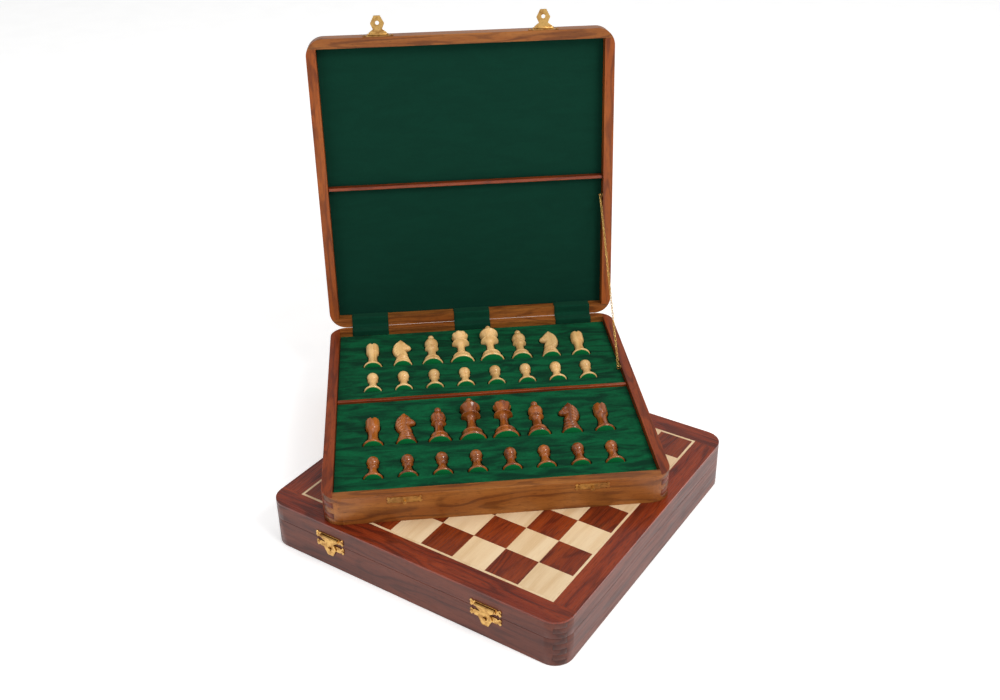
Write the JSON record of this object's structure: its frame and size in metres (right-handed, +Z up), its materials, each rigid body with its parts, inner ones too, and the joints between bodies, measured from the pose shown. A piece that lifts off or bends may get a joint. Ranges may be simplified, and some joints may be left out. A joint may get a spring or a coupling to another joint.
{
  "type": "chess set with board",
  "caption": "Wooden chess case standing open on a closed case whose lid is the board, with felt recesses for the men, brass latches, butt hinges and a stay chain.",
  "frame": {"origin": "centre of the closed board case's underside, the face that the object stands on", "axes": "+X right along the open case's front, +Y to its back, +Z up; the closed case is turned 38.8 degrees clockwise about Z"},
  "size_m": [0.408, 0.4801, 0.3905],
  "materials": {
    "rail_rosewood": "satin lacquer",
    "border_rosewood": "satin lacquer",
    "dark_square_wood": "satin lacquer",
    "maple": "satin lacquer",
    "plywood": "bare",
    "tray_felt": "brushed",
    "lid_felt": "brushed",
    "boxwood": "gloss lacquer",
    "sheesham": "gloss lacquer",
    "brass": "bright, lacquered"
  },
  "bodies": {
    "board_case": {"board_tray_rails": "rail_rosewood", "board_tray_floor": "plywood", "board_tray_catches": "brass", "board_lid_rails": "rail_rosewood", "board_lid_panel": "plywood", "board_border": "border_rosewood", "board_stringing": "maple", "board_light_squares": "maple", "board_dark_squares": "dark_square_wood", "board_linings": "lid_felt", "board_hinge_leaves": "brass", "board_hinge_pins": "brass", "board_latch_plates": "brass", "board_brads": "brass"},
    "board_hasp_left": {"board_hasp_left": "brass"},
    "board_hasp_right": {"board_hasp_right": "brass"},
    "set_case": {"set_tray_rails": "rail_rosewood", "set_tray_floor": "plywood", "insert_dark": "tray_felt", "insert_light": "tray_felt", "tray_divider": "border_rosewood", "set_tray_catches": "brass", "set_tray_brads": "brass", "set_tray_hinge_leaves": "brass", "set_hinge_pins": "brass", "tray_chain_eye": "brass"},
    "set_lid": {"set_lid_rails": "rail_rosewood", "set_lid_panel": "plywood", "set_lid_border": "border_rosewood", "set_lid_stringing": "maple", "set_lid_light_squares": "maple", "set_lid_dark_squares": "dark_square_wood", "set_lid_lining": "lid_felt", "lid_batten": "border_rosewood", "set_lid_hinge_leaves": "brass", "set_lid_latch_plates": "brass", "set_lid_brads": "brass", "lid_chain_eye": "brass", "hinge_covers": "lid_felt", "stay_chain": "brass"},
    "set_lid_hasp_left": {"set_lid_hasp_left": "brass"},
    "set_lid_hasp_right": {"set_lid_hasp_right": "brass"},
    "light_rook_left": {"light_rook_left": "boxwood"},
    "light_knight_left": {"light_knight_left": "boxwood"},
    "light_bishop_left": {"light_bishop_left": "boxwood"},
    "light_queen": {"light_queen": "boxwood"},
    "light_king": {"light_king": "boxwood"},
    "light_bishop_right": {"light_bishop_right": "boxwood"},
    "light_knight_right": {"light_knight_right": "boxwood"},
    "light_rook_right": {"light_rook_right": "boxwood"},
    "light_pawns": {"light_pawns": "boxwood"},
    "dark_rook_left": {"dark_rook_left": "sheesham"},
    "dark_knight_left": {"dark_knight_left": "sheesham"},
    "dark_bishop_left": {"dark_bishop_left": "sheesham"},
    "dark_king": {"dark_king": "sheesham"},
    "dark_queen": {"dark_queen": "sheesham"},
    "dark_bishop_right": {"dark_bishop_right": "sheesham"},
    "dark_knight_right": {"dark_knight_right": "sheesham"},
    "dark_rook_right": {"dark_rook_right": "sheesham"},
    "dark_pawns": {"dark_pawns": "sheesham"}
  },
  "joints": [
    {"name": "set_case_lift", "type": "slide", "parent": "board_case", "child": "set_case", "axis": [0, 0, 1], "range_m": [0, 0.06]},
    {"name": "set_lid_hinge", "type": "hinge", "parent": "set_case", "child": "set_lid", "pos_m": [-0.0109, 0.2324, 0.07282], "axis": [-1, 0, 0], "range_deg": [-95, 0], "deforming": ["hinge_covers", "stay_chain"]},
    {"name": "set_lid_hasp_left_pivot", "type": "hinge", "parent": "set_lid", "child": "set_lid_hasp_left", "pos_m": [-0.0909, 0.26316, 0.37278], "axis": [-1, 0, 0], "range_deg": [-90, 75]},
    {"name": "set_lid_hasp_right_pivot", "type": "hinge", "parent": "set_lid", "child": "set_lid_hasp_right", "pos_m": [0.0691, 0.26316, 0.37278], "axis": [-1, 0, 0], "range_deg": [-90, 75]},
    {"name": "board_hasp_left_pivot", "type": "hinge", "parent": "board_case", "child": "board_hasp_left", "pos_m": [-0.15728, -0.06794, 0.0321], "axis": [-0.7793, 0.6266, 0], "range_deg": [0, 165]},
    {"name": "board_hasp_right_pivot", "type": "hinge", "parent": "board_case", "child": "board_hasp_right", "pos_m": [-0.03258, -0.1682, 0.0321], "axis": [-0.7793, 0.6266, 0], "range_deg": [0, 165]},
    {"name": "light_rook_left_lift", "type": "slide", "parent": "set_case", "child": "light_rook_left", "axis": [0, 0, 1], "range_m": [0, 0.045]},
    {"name": "light_knight_left_lift", "type": "slide", "parent": "set_case", "child": "light_knight_left", "axis": [0, 0, 1], "range_m": [0, 0.045]},
    {"name": "light_bishop_left_lift", "type": "slide", "parent": "set_case", "child": "light_bishop_left", "axis": [0, 0, 1], "range_m": [0, 0.045]},
    {"name": "light_queen_lift", "type": "slide", "parent": "set_case", "child": "light_queen", "axis": [0, 0, 1], "range_m": [0, 0.045]},
    {"name": "light_king_lift", "type": "slide", "parent": "set_case", "child": "light_king", "axis": [0, 0, 1], "range_m": [0, 0.045]},
    {"name": "light_bishop_right_lift", "type": "slide", "parent": "set_case", "child": "light_bishop_right", "axis": [0, 0, 1], "range_m": [0, 0.045]},
    {"name": "light_knight_right_lift", "type": "slide", "parent": "set_case", "child": "light_knight_right", "axis": [0, 0, 1], "range_m": [0, 0.045]},
    {"name": "light_rook_right_lift", "type": "slide", "parent": "set_case", "child": "light_rook_right", "axis": [0, 0, 1], "range_m": [0, 0.045]},
    {"name": "light_pawns_lift", "type": "slide", "parent": "set_case", "child": "light_pawns", "axis": [0, 0, 1], "range_m": [0, 0.045]},
    {"name": "dark_rook_left_lift", "type": "slide", "parent": "set_case", "child": "dark_rook_left", "axis": [0, 0, 1], "range_m": [0, 0.045]},
    {"name": "dark_knight_left_lift", "type": "slide", "parent": "set_case", "child": "dark_knight_left", "axis": [0, 0, 1], "range_m": [0, 0.045]},
    {"name": "dark_bishop_left_lift", "type": "slide", "parent": "set_case", "child": "dark_bishop_left", "axis": [0, 0, 1], "range_m": [0, 0.045]},
    {"name": "dark_king_lift", "type": "slide", "parent": "set_case", "child": "dark_king", "axis": [0, 0, 1], "range_m": [0, 0.045]},
    {"name": "dark_queen_lift", "type": "slide", "parent": "set_case", "child": "dark_queen", "axis": [0, 0, 1], "range_m": [0, 0.045]},
    {"name": "dark_bishop_right_lift", "type": "slide", "parent": "set_case", "child": "dark_bishop_right", "axis": [0, 0, 1], "range_m": [0, 0.045]},
    {"name": "dark_knight_right_lift", "type": "slide", "parent": "set_case", "child": "dark_knight_right", "axis": [0, 0, 1], "range_m": [0, 0.045]},
    {"name": "dark_rook_right_lift", "type": "slide", "parent": "set_case", "child": "dark_rook_right", "axis": [0, 0, 1], "range_m": [0, 0.045]},
    {"name": "dark_pawns_lift", "type": "slide", "parent": "set_case", "child": "dark_pawns", "axis": [0, 0, 1], "range_m": [0, 0.045]}
  ]
}
